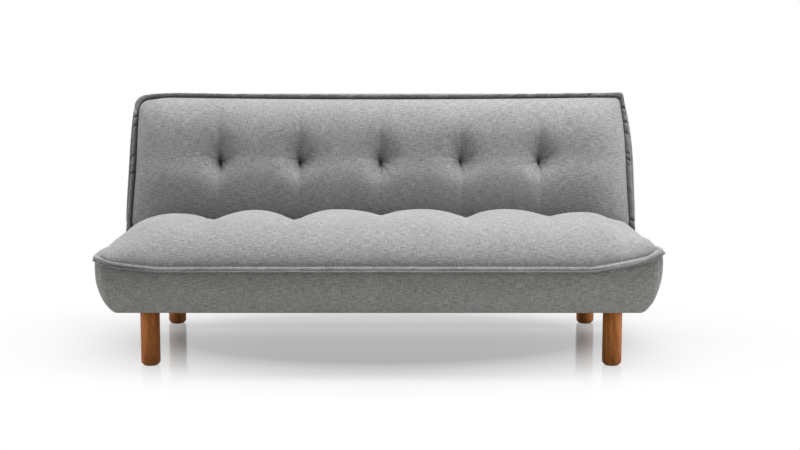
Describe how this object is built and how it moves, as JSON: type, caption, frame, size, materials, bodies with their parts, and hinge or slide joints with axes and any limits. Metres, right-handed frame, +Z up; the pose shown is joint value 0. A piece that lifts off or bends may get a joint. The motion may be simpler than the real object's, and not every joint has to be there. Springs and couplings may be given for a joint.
{
  "type": "click clack sofa bed",
  "caption": "Armless tufted sofa on round wooden legs whose backrest clicks forward and folds down flat on two side ratchet hinges.",
  "frame": {"origin": "middle of the footprint at rest, on the floor under the legs", "axes": "+X to the right of someone facing the sofa from the front, +Y to its rear, +Z up"},
  "size_m": [1.797, 0.8836, 0.8431],
  "materials": {
    "grey_fabric": "coarse melange weave",
    "leg_wood": "oiled brown hardwood",
    "frame_timber": "planed softwood",
    "black_steel": "black powder coat",
    "zinc_plate": "zinc plated",
    "spring_steel": "drawn wire",
    "glide_plastic": "matte",
    "felt": "needled felt",
    "dust_cloth": "thin non-woven cloth"
  },
  "bodies": {
    "base": {"cross_tube_front": "black_steel", "cross_tube_rear": "black_steel", "dust_cover": "dust_cloth", "glide_front_left": "glide_plastic", "glide_front_right": "glide_plastic", "glide_rear_left": "glide_plastic", "glide_rear_right": "glide_plastic", "hinge_bracket_left": "black_steel", "hinge_bracket_right": "black_steel", "leg_front_left": "leg_wood", "leg_front_right": "leg_wood", "leg_plate_front_left": "zinc_plate", "leg_plate_front_right": "zinc_plate", "leg_plate_rear_left": "zinc_plate", "leg_plate_rear_right": "zinc_plate", "leg_rear_left": "leg_wood", "leg_rear_right": "leg_wood", "pawl_spring_left": "spring_steel", "pawl_spring_right": "spring_steel", "pivot_pin_left": "zinc_plate", "pivot_pin_right": "zinc_plate", "seat_board_front": "frame_timber", "seat_board_left": "frame_timber", "seat_board_rear": "frame_timber", "seat_board_right": "frame_timber", "seat_border_front": "grey_fabric", "seat_border_left": "grey_fabric", "seat_border_rear": "grey_fabric", "seat_border_right": "grey_fabric", "seat_brace": "frame_timber", "seat_cushion": "grey_fabric", "seat_felt": "felt", "seat_spring_1": "spring_steel", "seat_spring_2": "spring_steel", "seat_spring_3": "spring_steel", "seat_spring_4": "spring_steel", "side_rail_left": "black_steel", "side_rail_right": "black_steel"},
    "backrest": {"back_arm_left": "black_steel", "back_arm_right": "black_steel", "back_border_bottom": "grey_fabric", "back_border_left": "grey_fabric", "back_border_right": "grey_fabric", "back_border_top": "grey_fabric", "back_cushion": "grey_fabric", "back_end_left": "frame_timber", "back_end_right": "frame_timber", "back_panel": "grey_fabric", "back_rail_bottom": "frame_timber", "back_rail_top": "frame_timber", "back_spring_1": "spring_steel", "back_spring_2": "spring_steel", "back_spring_3": "spring_steel", "back_spring_4": "spring_steel", "back_stile_left": "frame_timber", "back_stile_right": "frame_timber"},
    "pawl_left": {"pawl_left": "zinc_plate"},
    "pawl_right": {"pawl_right": "zinc_plate"}
  },
  "joints": [
    {"name": "backrest_recline", "type": "hinge", "parent": "base", "child": "backrest", "pos_m": [0, 0.19763, 0.3425], "axis": [-1, 0, 0], "range_deg": [-8, 70.5]},
    {"name": "pawl_left_lift", "type": "hinge", "parent": "base", "child": "pawl_left", "pos_m": [-0.75, 0.14963, 0.2985], "axis": [-1, 0, 0], "range_deg": [0, 12], "stiffness_Nm_per_rad": 0.6, "springref_deg": -6.88, "deforming": ["pawl_spring_left"]},
    {"name": "pawl_right_lift", "type": "hinge", "parent": "base", "child": "pawl_right", "pos_m": [0.75, 0.14963, 0.2985], "axis": [-1, 0, 0], "range_deg": [0, 12], "stiffness_Nm_per_rad": 0.6, "springref_deg": -6.88, "deforming": ["pawl_spring_right"]}
  ]
}
